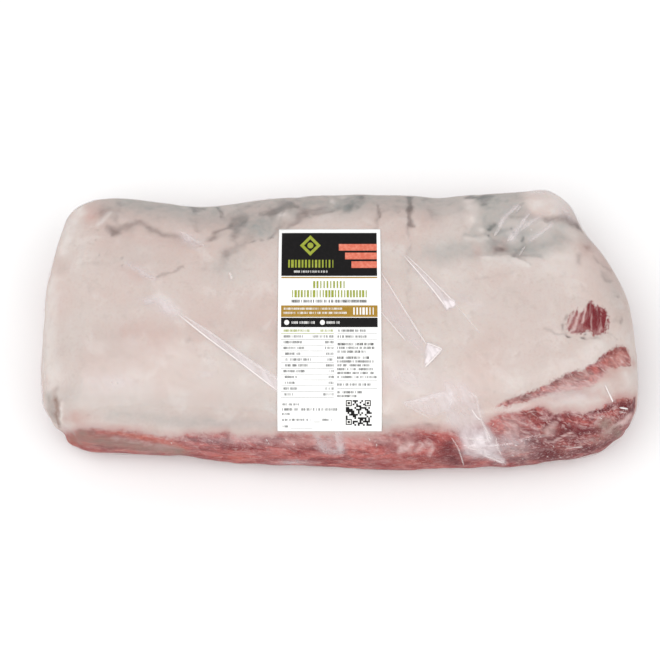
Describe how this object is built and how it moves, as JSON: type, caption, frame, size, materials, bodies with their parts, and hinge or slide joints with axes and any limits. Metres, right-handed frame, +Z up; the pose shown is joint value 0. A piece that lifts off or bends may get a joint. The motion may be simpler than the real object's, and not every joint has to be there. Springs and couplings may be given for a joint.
{
  "type": "raw pork loin",
  "caption": "Boneless raw pork loin, fat side up, shrunk tight in a clear vacuum bag with a long plain paper label across the top.",
  "frame": {"origin": "middle of the underside of the part's box, on the surface that the loin lies on", "axes": "+X along the loin towards its trimmed right end, +Y from the front side with the bare meat to the back, +Z up through the fat cap"},
  "size_m": [0.3212, 0.1564, 0.0628],
  "materials": {
    "film_over_meat": "pinkish white fat cap and red lean meat under clear glossy shrink film with milky folds",
    "label_paper": "smooth white self-adhesive paper with dark, ochre and green printed fields"
  },
  "bodies": {
    "root": {"bagged_loin": "film_over_meat", "label": "label_paper"}
  },
  "joints": []
}
